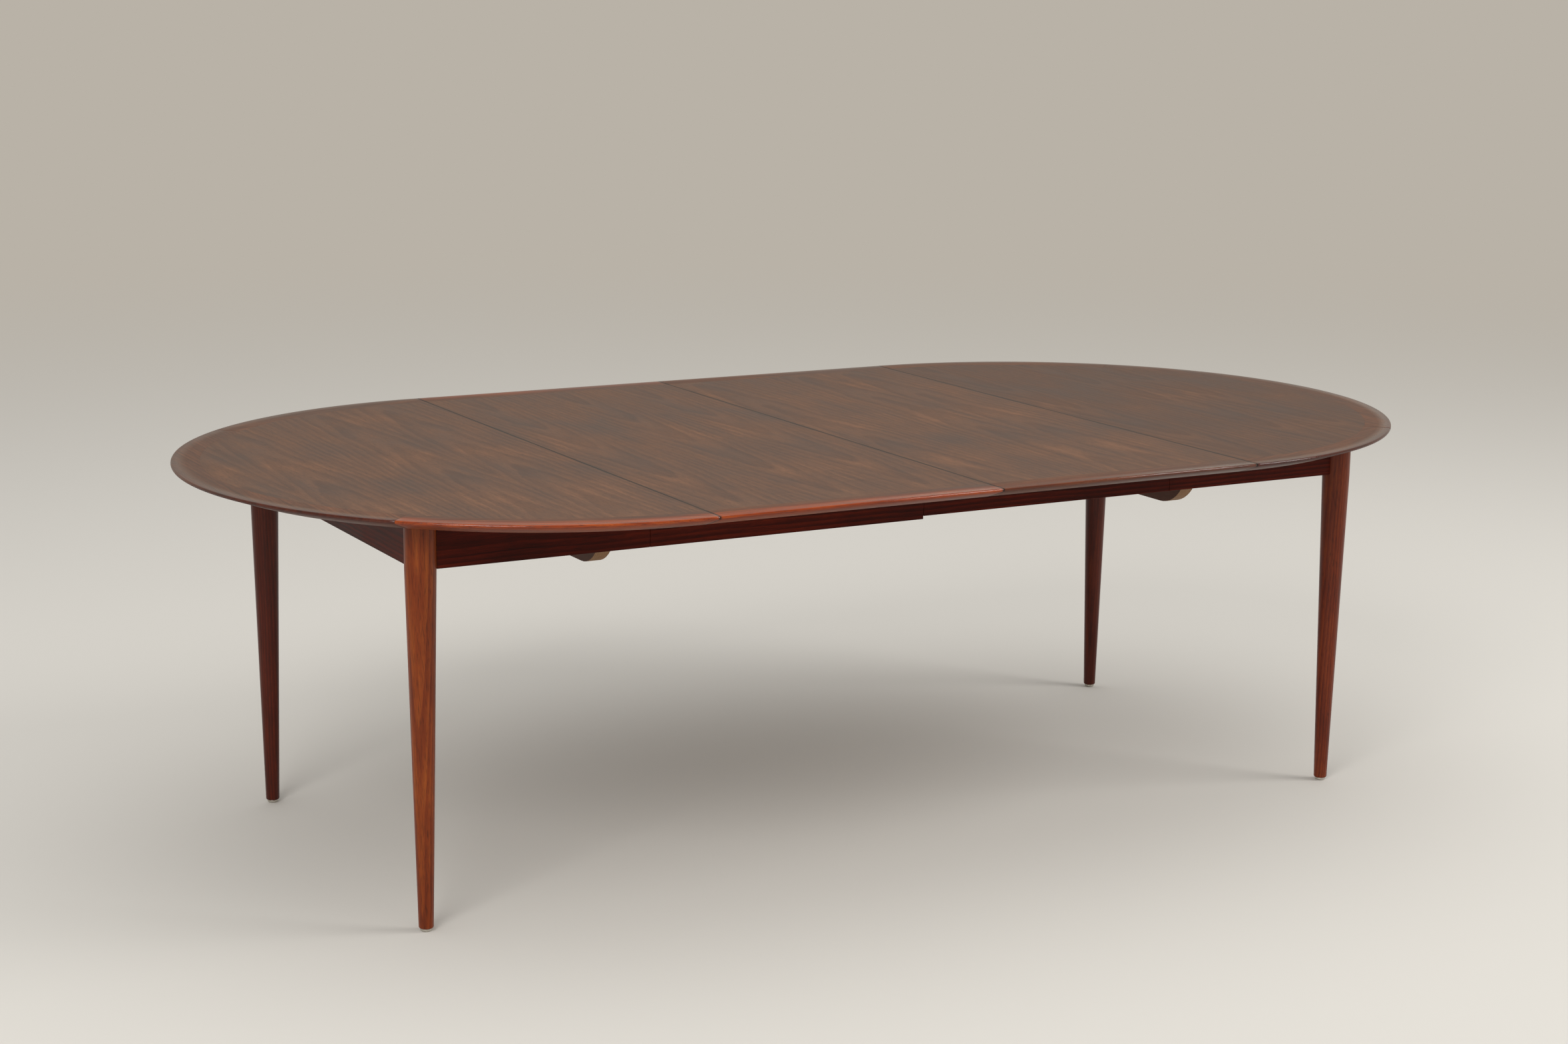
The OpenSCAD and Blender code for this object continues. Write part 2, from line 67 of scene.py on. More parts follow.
# The camera was fitted to the photograph. Its heading, how far it looks down and its roll are in degrees
EYE, HEADING, DOWN, ROLL = (-2.4943, -4.4055, 1.5713), -28.945, 11.621, 0.628
lens = bpy.data.cameras.new("camera")
lens.sensor_width = 36
lens.lens = 62.395
lens.clip_end = 100
camera = bpy.data.objects.new("camera", lens)
scene.collection.objects.link(camera)
camera.location = EYE
aim = Matrix.Identity(3)
for angle, axis in ((HEADING, "Z"), (90 - DOWN, "X"), (ROLL, "Z")):
    aim = aim @ Matrix.Rotation(math.radians(angle), 3, axis)
camera.rotation_euler = aim.to_euler()
scene.camera = camera

# The camera, gloss and glass see the backdrop's colour, and the object gets even white light from all round
FLOOR, WALL = linear("#d1cdc5"), linear("#b9b2a7")
studio = bpy.data.worlds.new("studio")
studio.use_nodes = True
tree = studio.node_tree
tree.nodes.clear()
rays = add(tree, "LightPath").outputs
seen = add(tree, "Math", {0: rays["Is Camera Ray"], 1: rays["Is Glossy Ray"]}, operation="MAXIMUM").outputs[0]
seen = add(tree, "Math", {0: seen, 1: rays["Is Transmission Ray"]}, operation="MAXIMUM").outputs[0]
ambient = add(tree, "Background", {"Color": linear("#ffffff"), "Strength": 0.68}).outputs[0]
backdrop = add(tree, "Background", {"Color": WALL, "Strength": 1.0}).outputs[0]
mixed = add(tree, "MixShader", {0: seen, 1: ambient, 2: backdrop}).outputs[0]
add(tree, "OutputWorld", {0: mixed})
scene.world = studio

pale = bpy.data.materials.new("pale floor")
pale.use_nodes = True
tree = pale.node_tree
surface = tree.nodes["Principled BSDF"]
surface.inputs["Base Color"].default_value = FLOOR
surface.inputs["Roughness"].default_value = 0.9
# Between these distances from the table, in metres, the floor turns into the backdrop
NEAR, AWAY, FLOOR_R = 2.5, 10.0, 30.0
place = add(tree, "TexCoord").outputs["Object"]
distance = add(tree, "VectorMath", {0: place}, operation="LENGTH").outputs["Value"]
faded = add(tree, "MapRange", {0: distance, 1: NEAR, 2: AWAY}, interpolation_type="SMOOTHSTEP").outputs[0]
rays = add(tree, "LightPath").outputs
seen = add(tree, "Math", {0: rays["Is Camera Ray"], 1: rays["Is Glossy Ray"]}, operation="MAXIMUM").outputs[0]
faded = add(tree, "Math", {0: faded, 1: seen}, operation="MULTIPLY").outputs[0]
glow = add(tree, "Emission", {"Color": WALL, "Strength": 1.0}).outputs[0]
merged = add(tree, "MixShader", {0: faded, 1: surface.outputs[0], 2: glow}).outputs[0]
# From below the floor is open, so that the table's underside shows
under = add(tree, "NewGeometry").outputs["Backfacing"]
clear = add(tree, "BsdfTransparent").outputs[0]
opened = add(tree, "MixShader", {0: under, 1: merged, 2: clear}).outputs[0]
tree.links.new(opened, tree.nodes["Material Output"].inputs[0])
made = bmesh.new()
bmesh.ops.create_circle(made, cap_ends=True, segments=128, radius=FLOOR_R)
mesh = bpy.data.meshes.new("floor")
made.to_mesh(mesh)
made.free()
mesh.materials.append(pale)
floor = bpy.data.objects.new("floor", mesh)
scene.collection.objects.link(floor)

# Place, size and power of each lamp, in metres and watts; all of them face the middle of the table
MIDDLE = Vector((0, 0, 0.5))
for name, place, size, power in (
    ("overhead", (0.3, 0.4, 4.5), 5.0, 40),
    ("front_left", (-4.6, -4.2, 4.4), 3.2, 200),
    ("front_right", (5.0, -3.4, 4.4), 3.2, 180),
):
    lamp = bpy.data.lights.new(name, "AREA")
    lamp.shape = "DISK"
    lamp.size = size
    lamp.energy = power
    light = bpy.data.objects.new(name, lamp)
    light.location = place
    light.rotation_euler = (MIDDLE - Vector(place)).to_track_quat("-Z", "Y").to_euler()
    scene.collection.objects.link(light)

# Veneered tops. Each top is a board faced with sawn teak veneer, its grain across the table, and with plainer
# veneer below. The sheets are laid side by side and turned over in pairs, so that the figure mirrors at every
# other joint.
MM = 0.001
# The seams lie a leaf's width apart, and three sheets of veneer cover a leaf
LEAF_W, TOP_Z = 537 * MM, 710 * MM
SHEET = LEAF_W / 3
# The middles of the round ends lie at this X either way, and the outer edge lies this far from them. Hands
# have polished the outermost part of the top
ROUND_X, EDGE_AT, POLISHED = 546.5 * MM, 658 * MM, 26 * MM


def wood(name, tones, grain, middle, heart, pore, ring, waver=14 * MM, sheet=0, edge_wear_and_light=None, reach=0,
         contrast=0.3, roughness=0.42, streak=7 * MM, striped=0.9, seams=False, ior=1.48):
    """Oiled or planed wood: growth rings round the tree's heart, with streaks and pores along the grain.

    Tones run from the dark wood to the light, and pore is the colour of the pores. Grain is the way that the
    grain runs, middle is the middle of the piece, and heart is how far the tree's heart lies from there. Ring
    and streak are their widths, waver is how far the rings stray, contrast is how strongly the rings show,
    and striped is how strongly the streaks do. A sheet's width folds the pattern over at each joint, as
    book-matched veneer does. The edge tones give the table's outer edge its colour, partly wear and partly
    painted light and shade, and reach how far in they start. With seams, the edges where tops meet are dark
    with use."""
    material = bpy.data.materials.new(name)
    material.use_nodes = True
    tree = material.node_tree
    surface = tree.nodes["Principled BSDF"].inputs
    place = add(tree, "TexCoord").outputs["Object"]
    x, y, z = add(tree, "SeparateXYZ", {0: place}).outputs
    if sheet:
        folded = add(tree, "Math", {0: x, 1: sheet}, operation="PINGPONG").outputs[0]
        place = add(tree, "CombineXYZ", {0: folded, 1: y, 2: z}).outputs[0]
    # The pattern is drawn with the trunk upright
    upright = Vector(grain).rotation_difference(Vector((0, 0, 1)))
    trunk = add(tree, "Mapping", {"Vector": place, "Rotation": upright.to_euler(),
                                  "Location": Vector(heart) - upright @ Vector(middle)}).outputs[0]

    # The rings stray to and fro over about 250 mm
    drift = add(tree, "TexNoise", {"Vector": trunk, "Scale": 1 / (250 * MM), "Detail": 2.0}).outputs["Color"]
    bent = add(tree, "VectorMath", {0: drift, 1: (waver, waver, 0), 2: trunk},
               operation="MULTIPLY_ADD").outputs[0]
    across = add(tree, "VectorMath", {0: bent, 1: (1 / ring, 1 / ring, 0)}, operation="MULTIPLY").outputs[0]
    count = add(tree, "VectorMath", {0: across}, operation="LENGTH").outputs["Value"]
    growth = add(tree, "Math", {0: count}, operation="FRACT").outputs[0]
    # A ring darkens slowly to its late wood and ends sharply
    late = add(tree, "ValToRGB", {0: growth})
    late.color_ramp.interpolation = "EASE"
    early, full = late.color_ramp.elements
    early.position, early.color = 0.1, linear("#000000")
    full.position, full.color = 0.9, linear("#ffffff")
    late.color_ramp.elements.new(1.0).color = linear("#000000")

    # Streaks are thirty times as long as they are wide
    stretched = add(tree, "VectorMath", {0: bent, 1: (1 / streak, 1 / streak, 1 / (30 * streak))},
                    operation="MULTIPLY").outputs[0]
    streaks = add(tree, "TexNoise", {"Vector": stretched, "Scale": 1.0, "Detail": 4.0,
                                     "Roughness": 0.6}).outputs[0]
    # Pores are drawn 1 mm wide and 20 mm long, several times their real size, so that they show in the render
    fine = add(tree, "VectorMath", {0: trunk, 1: (1 / MM, 1 / MM, 1 / (20 * MM))},
               operation="MULTIPLY").outputs[0]
    pores = add(tree, "TexNoise", {"Vector": fine, "Scale": 1.0, "Detail": 1.0}).outputs[0]
    pits = add(tree, "MapRange", {0: pores, 1: 0.52, 2: 0.72}).outputs[0]
    # Patches about 100 mm wide and 250 mm long, where sun and wiping have changed the wood
    wide = add(tree, "VectorMath", {0: bent, 1: (1 / (100 * MM), 1 / (100 * MM), 1 / (250 * MM))},
               operation="MULTIPLY").outputs[0]
    patches = add(tree, "TexNoise", {"Vector": wide, "Scale": 1.0, "Detail": 3.0,
                                     "Roughness": 0.6}).outputs[0]

    # Rings, streaks and patches add up to a shade whose middle stays the same however strong each of them is
    middling = 0.75 + (contrast - striped) / 2
    shade = add(tree, "Math", {0: late.outputs[0], 1: -contrast, 2: middling},
                operation="MULTIPLY_ADD").outputs[0]
    shade = add(tree, "Math", {0: streaks, 1: striped, 2: shade}, operation="MULTIPLY_ADD").outputs[0]
    shade = add(tree, "Math", {0: patches, 1: 1.1, 2: shade}, operation="MULTIPLY_ADD").outputs[0]
    shade = add(tree, "Math", {0: shade, 1: 0.8}, operation="SUBTRACT").outputs[0]
    toned = []
    for scale in filter(None, (tones, edge_wear_and_light)):
        ramp = add(tree, "ValToRGB", {0: shade})
        ends = ramp.color_ramp.elements
        ends[0].color, ends[1].color = linear(scale[0]), linear(scale[-1])
        for i, tone in enumerate(scale[1:-1], 1):
            ends.new(i / (len(scale) - 1)).color = linear(tone)
        toned.append(ramp.outputs[0])
    colour = toned[0]
    # Hands have left the wood smoother in some patches than in others
    dull = add(tree, "MapRange", {0: patches, 1: 0.3, 2: 0.7, 3: roughness - 0.05,
                                  4: roughness + 0.07}).outputs[0]
    # The outer edge gets its own tones: partly wear, partly painted light and shade
    if edge_wear_and_light:
        # How far a point lies out from the table's middle line or from the middle of a round end
        past = add(tree, "Math", {0: x}, operation="ABSOLUTE").outputs[0]
        past = add(tree, "Math", {0: past, 1: ROUND_X}, operation="SUBTRACT").outputs[0]
        past = add(tree, "Math", {0: past, 1: 0.0}, operation="MAXIMUM").outputs[0]
        out = add(tree, "CombineXYZ", {0: past, 1: y}).outputs[0]
        out = add(tree, "VectorMath", {0: out}, operation="LENGTH").outputs["Value"]
        # The edge tones, with their wear and painted light, and the polish are stronger towards the edge, and
        # weaker on the table's far side
        use = add(tree, "MapRange", {0: y, 1: -0.2, 2: 0.2, 3: 1.0, 4: 0.5}).outputs[0]
        fades = []
        for far in (reach, POLISHED):
            fade = add(tree, "MapRange", {0: out, 1: EDGE_AT - far, 2: EDGE_AT - 0.4 * far}).outputs[0]
            fades.append(add(tree, "Math", {0: fade, 1: use}, operation="MULTIPLY").outputs[0])
        worn, handled = fades
        # The bevel below the edge takes on much of the edge tones, its red with painted light and shade, and
        # it was never polished
        below = add(tree, "MapRange", {0: z, 1: TOP_Z - 2 * MM, 2: TOP_Z - 5 * MM, 3: 0.0,
                                       4: 0.65}).outputs[0]
        red = add(tree, "Math", {0: worn, 1: below}, operation="MAXIMUM").outputs[0]
        colour = add(tree, "Mix", {0: red, 6: colour, 7: toned[1]}, data_type="RGBA").outputs[2]
        polish = add(tree, "MapRange", {0: below, 1: 0.0, 2: 0.65, 3: -0.31, 4: 0.15}).outputs[0]
        dull = add(tree, "Math", {0: handled, 1: polish, 2: dull}, operation="MULTIPLY_ADD").outputs[0]
    dark = add(tree, "Math", {0: pits, 1: 0.55}, operation="MULTIPLY").outputs[0]
    colour = add(tree, "Mix", {0: dark, 6: colour, 7: linear(pore)}, data_type="RGBA").outputs[2]
    if seams:
        # Dirt darkens about 3 mm on each side of a seam, drawn that wide so that it shows, and less in patches
        away = add(tree, "Math", {0: x}, operation="ABSOLUTE").outputs[0]
        away = add(tree, "Math", {0: away, 1: 1.4 * LEAF_W}, operation="MINIMUM").outputs[0]
        seam = add(tree, "Math", {0: away, 1: LEAF_W}, operation="PINGPONG").outputs[0]
        seam = add(tree, "Math", {0: seam, 1: LEAF_W / 2}, operation="SUBTRACT").outputs[0]
        seam = add(tree, "Math", {0: seam}, operation="ABSOLUTE").outputs[0]
        edge = add(tree, "MapRange", {0: seam, 1: LEAF_W / 2 - 4 * MM, 2: LEAF_W / 2 - 1.5 * MM}).outputs[0]
        uneven = add(tree, "MapRange", {0: patches, 1: 0.3, 2: 0.6, 3: 1.0, 4: 0.7}).outputs[0]
        dirt = add(tree, "Math", {0: edge, 1: uneven}, operation="MULTIPLY").outputs[0]
        colour = add(tree, "Mix", {0: dirt, 6: colour, 7: linear("#140a05")}, data_type="RGBA").outputs[2]
    relief = add(tree, "Math", {0: pits, 1: -1.0, 2: streaks}, operation="MULTIPLY_ADD").outputs[0]
    bump = add(tree, "Bump", {"Strength": 0.25, "Distance": 0.2 * MM, "Height": relief}).outputs[0]
    tree.links.new(colour, surface["Base Color"])
    tree.links.new(dull, surface["Roughness"])
    tree.links.new(bump, surface["Normal"])
    surface["IOR"].default_value = ior
    return material


def dress(node, material):
    """Gives a CAD node its material."""
    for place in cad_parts[node].material_slots:
        place.material = material


# Oiled veneer is a satin brown with a quiet figure. Each top has its own cut: where the tree's heart lies
# across it, how deep below it, and how the grain leans out of the sheet
VENEER_TONES = ("#301b12", "#4e301f", "#654129", "#835739")
DARK_VENEER_TONES = ("#2b1910", "#472b1c", "#5b3a25", "#764f34")
for node, tones, over, depth, lean in (
    ("left_top_veneer", VENEER_TONES, 20 * MM, 75 * MM, 0.035),
    ("leaf_1_veneer", VENEER_TONES, -15 * MM, 60 * MM, -0.040),
    ("leaf_2_veneer", VENEER_TONES, 30 * MM, 85 * MM, 0.030),
    ("right_top_veneer", DARK_VENEER_TONES, -30 * MM, 70 * MM, -0.035),
):
    dress(node, wood(f"oiled teak veneer, {node.replace('_', ' ')}", tones, (0, 1, lean),
                     (SHEET / 2, 0, TOP_Z), (over, depth, depth), "#2c1b12", 10 * MM, sheet=SHEET,
                     contrast=0.17, roughness=0.46, striped=0.5, seams=True))

# The underside is faced with plain veneer and was never oiled, so it is paler and dull
backing = wood("dry teak veneer, underside", ("#59422f", "#755a41", "#8b6d50"), (0, 1, 0.02),
               (SHEET / 2, 0, TOP_Z - 20 * MM), (0, 0.12, 0), "#453322", 8 * MM, sheet=SHEET, contrast=0.2,
               roughness=0.75)
# The board shows only at the edges that meet at the seams: strips of softwood, sawn and glued, pale and rough
strips = wood("sawn blockboard edge", ("#8a6a42", "#a98556", "#c29f6d"), (0, 1, 0.3),
              (0, 0, TOP_Z - 10 * MM), (0, 0.03, 0), "#6f522f", 3 * MM, sheet=20 * MM, contrast=0.4,
              roughness=0.85)
for node in ("left_backing_veneer", "right_backing_veneer", "leaf_1_backing", "leaf_2_backing"):
    dress(node, backing)
for node in ("left_top_core", "right_top_core", "leaf_1_core", "leaf_2_core"):
    dress(node, strips)

# Lipping. Solid teak glued round the edge of every top. A wide bevel below leaves a thin edge, which is
# sanded round. Each round end has three lengths, sawn to the curve, and each leaf has one a side.
LIP_W, LIP_T = 50 * MM, 22 * MM
EDGE_R, UNDER_FLAT, UNDER_R = 3 * MM, 2 * MM, 1.5 * MM
CORE_R, UNDER_Z = EDGE_AT - LIP_W, TOP_Z - LIP_T
# The tops meet with a hair between them, and a round end goes straight for the last few millimetres
SEAM = 0.5 * MM
LEAF_L, HALF_SEAM_X = LEAF_W - SEAM, LEAF_W + SEAM / 2
STRAIGHT = ROUND_X - HALF_SEAM_X
# On top the lengths have gone brown like the veneer. Along the edge two are bright orange, leaf 2's is brown,
# and the others are dark red. These edge tones are partly the wood's own and its wear, and partly painted
# light: a painted front light on the bright near edges, and painted shade on the dark red lengths
LIP_TONES = ("#341e13", "#593521", "#7a4c30")
BRIGHT_EDGE, DARK_EDGE = ("#501700", "#863204", "#b05110"), ("#260c05", "#45180b", "#5c2814")
BROWN_EDGE = ("#30130a", "#582812", "#763f20")
LIPPING = dict(pore="#2a1208", ring=8 * MM, waver=10 * MM, contrast=0.15, roughness=0.46, seams=True,
               ior=1.45)
# How far in from the edge the edge tones reach, with their wear and painted light
WIDE_EDGE_BAND, NARROW_EDGE_BAND = 38 * MM, 16 * MM


def round_edges(made, edges, width, segments=2):
    """Takes the arris off some edges."""
    bmesh.ops.bevel(made, geom=edges, offset=width, affect="EDGES", segments=segments, profile=0.5,
                    material=-1)


def lipping_section(made):
    """Draws the moulding's section in the XZ plane, its inner face at the radius of the core."""
    run, rise = LIP_W - EDGE_R - UNDER_FLAT, LIP_T - EDGE_R
    slope = math.atan2(rise, run) - math.asin(EDGE_R / math.hypot(run, rise))
    corner_z = (LIP_W - UNDER_FLAT) * math.tan(slope)
    board = (Matrix.Translation((LIP_W / 2, 0, LIP_T / 2)) @ Matrix.Rotation(math.radians(90), 4, "X")
             @ Matrix.Diagonal((LIP_W, LIP_T, 1, 1)))
    bmesh.ops.create_grid(made, x_segments=1, y_segments=1, size=0.5, matrix=board)
    bmesh.ops.bisect_plane(made, geom=made.verts[:] + made.edges[:] + made.faces[:],
                           plane_co=(UNDER_FLAT, 0, 0), plane_no=(math.sin(slope), 0, -math.cos(slope)),
                           clear_outer=True)
    # The two outer corners make the round edge, and the bevel's inner corner is sanded soft
    for height, width in ((LIP_T, EDGE_R), (corner_z, rise - corner_z), (0, UNDER_R)):
        corner = [v for v in made.verts if abs(v.co.z - height) < MM / 20 and v.co.x > UNDER_FLAT / 2]
        bmesh.ops.bevel(made, geom=corner, offset=width, affect="VERTICES", segments=8, profile=0.5,
                        material=-1)
    # The two rounds meet halfway up the edge, a hair apart
    bmesh.ops.remove_doubles(made, verts=made.verts[:], dist=MM / 20)
    bmesh.ops.translate(made, verts=made.verts[:], vec=(CORE_R, 0, UNDER_Z))


def sweep(made, faces, length):
    """Pushes a section straight along +Y and returns its far face."""
    moved = bmesh.ops.extrude_face_region(made, geom=faces)["geom"]
    bmesh.ops.translate(made, verts=[g for g in moved if isinstance(g, bmesh.types.BMVert)],
                        vec=(0, length, 0))
    return [g for g in moved if isinstance(g, bmesh.types.BMFace)]


def ease_ends(made, width):
    """Takes the arris off the two end faces of a length, which leaves a fine line where lengths meet."""
    bmesh.ops.recalc_face_normals(made, faces=made.faces[:])
    big = sorted(made.faces, key=lambda f: len(f.verts))[-2:]
    round_edges(made, list(dict.fromkeys(e for f in big for e in f.edges)), width)


def join(made, one):
    """Adds a finished shape to the others of its piece."""
    shape = bpy.data.meshes.new("shape")
    one.to_mesh(shape)
    one.free()
    made.from_mesh(shape)
    bpy.data.meshes.remove(shape)


def piece(name, made, material, body, node):
    """Makes the object of a finished shape, and says what it rides on and which CAD node it stands for."""
    bmesh.ops.remove_doubles(made, verts=made.verts[:], dist=MM / 1000)
    bmesh.ops.recalc_face_normals(made, faces=made.faces[:])
    mesh = bpy.data.meshes.new(name)
    made.to_mesh(mesh)
    made.free()
    mesh.shade_smooth()
    mesh.set_sharp_from_angle(angle=math.radians(35))
    mesh.materials.append(material)
    thing = bpy.data.objects.new(name, mesh)
    scene.collection.objects.link(thing)
    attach(thing, body)
    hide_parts(node)
    return thing


END_ARRIS = 0.4 * MM
for half, turn in (("left", 0), ("right", 180)):
    placed = Matrix.Rotation(math.radians(turn), 4, "Z") @ Matrix.Translation((-ROUND_X, 0, 0))
    facing = 1 if half == "left" else -1
    for part, across in (("near", -1), ("end", 0), ("far", 1)):
        made = bmesh.new()
        lipping_section(made)
        if part == "end":
            bmesh.ops.spin(made, geom=made.faces[:], cent=(0, 0, 0), axis=(0, 0, 1), angle=math.radians(90),
                           steps=96)
            way = Matrix.Rotation(math.radians(135), 4, "Z")
        else:
            bmesh.ops.translate(made, verts=made.verts[:], vec=(0, -STRAIGHT, 0))
            last = sweep(made, made.faces[:], STRAIGHT)
            bmesh.ops.spin(made, geom=last, cent=(0, 0, 0), axis=(0, 0, 1), angle=math.radians(45), steps=48)
            bmesh.ops.delete(made, geom=last, context="FACES_ONLY")
            # Drawn for the far side, and turned over for the near side
            way = Matrix.Diagonal((1, across * facing, 1, 1)) @ Matrix.Rotation(math.radians(90), 4, "Z")
        ease_ends(made, END_ARRIS)
        bmesh.ops.transform(made, matrix=placed @ way, verts=made.verts[:])
        # The grain runs straight along the board that a length is sawn from
        slant = math.radians(90 if part == "end" else 22.5 * across * facing)
        middle = (-facing * (ROUND_X + CORE_R * math.sin(slant)), across * CORE_R * math.cos(slant), UNDER_Z)
        name = f"{half}_lipping_{part}"
        edge, reach = (BRIGHT_EDGE, WIDE_EDGE_BAND) if name == "left_lipping_near" else (DARK_EDGE, NARROW_EDGE_BAND)
        teak = wood(f"oiled solid teak, {half} {part} lipping", LIP_TONES,
                    (math.cos(slant), math.sin(slant), 0.01), middle,
                    (0.16 + 0.02 * across, 0.09, 0.7 * across), edge_wear_and_light=edge, reach=reach, **LIPPING)
        piece(f"moulded_{name}", made, teak, f"{half}_half", name)

for number, edge in ((1, BRIGHT_EDGE), (2, BROWN_EDGE)):
    made = bmesh.new()
    for side in (-1, 1):
        strip = bmesh.new()
        lipping_section(strip)
        sweep(strip, strip.faces[:], LEAF_L)
        ease_ends(strip, END_ARRIS)
        # Turned so that the nose points across the table and the strip runs from the leaf's left edge
        start = (number - 2) * LEAF_W + SEAM / 2
        along = Matrix(((0, 1, 0, start), (side, 0, 0, 0), (0, 0, 1, 0), (0, 0, 0, 1)))
        bmesh.ops.transform(strip, matrix=along, verts=strip.verts[:])
        join(made, strip)
    teak = wood(f"oiled solid teak, leaf {number} lippings", LIP_TONES, (1, 0, 0.015),
                ((number - 1.5) * LEAF_W, 0, UNDER_Z), (0.02, 0.05 + 0.02 * number, 0), edge_wear_and_light=edge,
                reach=WIDE_EDGE_BAND, **LIPPING)
    piece(f"moulded_leaf_{number}_lippings", made, teak, f"leaf_{number}",
          f"leaf_{number}_lippings")

# Legs. Four legs turned from solid teak: straight where the rails meet them, then tapered to a foot with a
# small round. They are oiled, so they have a soft shine, and the streaks run down them.
LEG_X, LEG_Y = 943 * MM, 395 * MM
LEG_R, FOOT_R, FOOT_ROUND, FOOT_ARRIS = 26 * MM, 12.5 * MM, 2 * MM, 0.9 * MM
RAIL_Z, GLIDE_H = 611 * MM, 5 * MM
# The near left leg is the brightest. The right near leg is painted a little darker and the two far legs dark
# red, as painted shade, because less light falls on them
SHADED_FAR_LEG_TONES = ("#2a0902", "#4e1606", "#6a290c")
LEG_TONES = {"left near": ("#481303", "#76300b", "#974c18"), "right near": ("#3a0d05", "#63230b", "#803a14"),
             "left far": SHADED_FAR_LEG_TONES, "right far": SHADED_FAR_LEG_TONES}


def turn_profile(made, points, steps):
    """Turns a profile of (radius, height) points round the Z axis into a closed shape."""
    line = [made.verts.new((r, 0, z)) for r, z in points]
    edges = [made.edges.new(pair) for pair in zip(line, line[1:])]
    bmesh.ops.spin(made, geom=line + edges, cent=(0, 0, 0), axis=(0, 0, 1), angle=math.radians(360),
                   steps=steps, use_merge=True)
    bmesh.ops.remove_doubles(made, verts=made.verts[:], dist=MM / 1000)
    bmesh.ops.recalc_face_normals(made, faces=made.faces[:])


# The taper is cut in six lengths, so that the shape keeps square faces along its height
TAPER_FROM, LENGTHS = GLIDE_H + FOOT_ROUND, 6
taper = [(FOOT_R + (LEG_R - FOOT_R) * i / LENGTHS, TAPER_FROM + (RAIL_Z - TAPER_FROM) * i / LENGTHS)
         for i in range(LENGTHS + 1)]
leg_profile = [(0, GLIDE_H), (FOOT_R - FOOT_ROUND, GLIDE_H)] + taper + [(LEG_R, UNDER_Z), (0, UNDER_Z)]
for half, x in (("left", -1), ("right", 1)):
    for part, y in (("near", -1), ("far", 1)):
        made = bmesh.new()
        turn_profile(made, leg_profile, 96)
        rims = [e for e in made.edges if e.calc_face_angle(0) > math.radians(20)
                and e.verts[0].co.z < 2 * GLIDE_H and min(v.co.xy.length for v in e.verts) > FOOT_R / 2]
        round_edges(made, rims, FOOT_ARRIS, segments=3)
        bmesh.ops.translate(made, verts=made.verts[:], vec=(x * LEG_X, y * LEG_Y, 0))
        # The heart lies well outside a leg, on another side of each, so that the figure differs
        teak = wood(f"oiled solid teak, {half} {part} leg", LEG_TONES[f"{half} {part}"],
                    (0.012 * x, -0.009 * y, 1), (x * LEG_X, y * LEG_Y, 0.35),
                    (0.03 * y, 0.022 * x + 0.01 * y, 0.3 * x), "#220c05", 5 * MM, waver=6 * MM, contrast=0.26,
                    roughness=0.34, streak=4 * MM, striped=0.7, ior=1.32)
        piece(f"turned_{half}_leg_{part}", made, teak, f"{half}_half", f"{half}_leg_{part}")

# Glides. A steel dome with a nail, pressed from sheet, nickel-plated and driven into each foot. The plating
# is bright, and dull where it is scuffed.
nickel = bpy.data.materials.new("nickel-plated steel, worn")
nickel.use_nodes = True
tree = nickel.node_tree
surface = tree.nodes["Principled BSDF"].inputs
surface["Base Color"].default_value = linear("#c9c5bc")
surface["Metallic"].default_value = 1
place = add(tree, "TexCoord").outputs["Object"]
# Scuffs about 2 mm across, from sliding over the floor
scuffs = add(tree, "TexNoise", {"Vector": place, "Scale": 1 / (2 * MM), "Detail": 3.0}).outputs[0]
worn = add(tree, "MapRange", {0: scuffs, 1: 0.35, 2: 0.7, 3: 0.22, 4: 0.5}).outputs[0]
tree.links.new(worn, surface["Roughness"])

GLIDE_R, GLIDE_ARRIS, NAIL_R, NAIL_LEN = 10 * MM, 0.5 * MM, 1.5 * MM, 20 * MM
glide_profile = [(0, 0), (GLIDE_R - GLIDE_H / 2, 0), (GLIDE_R - GLIDE_H / 8, GLIDE_H / 4),
                 (GLIDE_R, GLIDE_H / 2), (GLIDE_R, GLIDE_H), (NAIL_R, GLIDE_H),
                 (NAIL_R, GLIDE_H + 0.85 * NAIL_LEN), (0, GLIDE_H + NAIL_LEN)]
for half, x in (("left", -1), ("right", 1)):
    made = bmesh.new()
    for y in (-1, 1):
        one = bmesh.new()
        turn_profile(one, glide_profile, 64)
        rims = [e for e in one.edges if e.calc_face_angle(0) > math.radians(15)
                and min(v.co.xy.length for v in e.verts) > GLIDE_R / 2]
        round_edges(one, rims, GLIDE_ARRIS)
        bmesh.ops.translate(one, verts=one.verts[:], vec=(x * LEG_X, y * LEG_Y, 0))
        join(made, one)
    piece(f"domed_{half}_glides", made, nickel, f"{half}_half", f"{half}_foot_glides")

# Rails, aprons and skirts. Solid teak boards on edge under the top, with little shine. Their very dark red is
# partly the wood's own and partly painted shade, for the shadow under the top's overhang. Aprons and end
# rails are tenoned into the legs; a leaf's two skirts are glued under it, in line with the aprons. Their
# arrises are sanded, so that the seams show as fine lines.
ARRIS = 0.8 * MM
RAIL_MIDDLE_Z = 650 * MM
# Teak tones darkened with painted shade from the top's overhang
SHADED_RAIL_TONES = ("#1f0400", "#430e03", "#621b07")
RAIL = dict(pore="#220c05", ring=6 * MM, waver=8 * MM, contrast=0.3, roughness=0.42, streak=6 * MM, ior=1.18)


def soften(node, width, material):
    """Joins a CAD node's loose triangles to flat faces, takes the arris off its edges, and dresses it."""
    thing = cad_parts[node]
    weld = thing.modifiers.new("joined", "WELD")
    weld.merge_threshold = MM / 200
    flat = thing.modifiers.new("flat", "DECIMATE")
    flat.decimate_type = "DISSOLVE"
    flat.angle_limit = math.radians(0.5)
    arris = thing.modifiers.new("arris", "BEVEL")
    arris.width = width
    arris.segments = 2
    arris.limit_method = "ANGLE"
    arris.angle_limit = math.radians(40)
    dress(node, material)


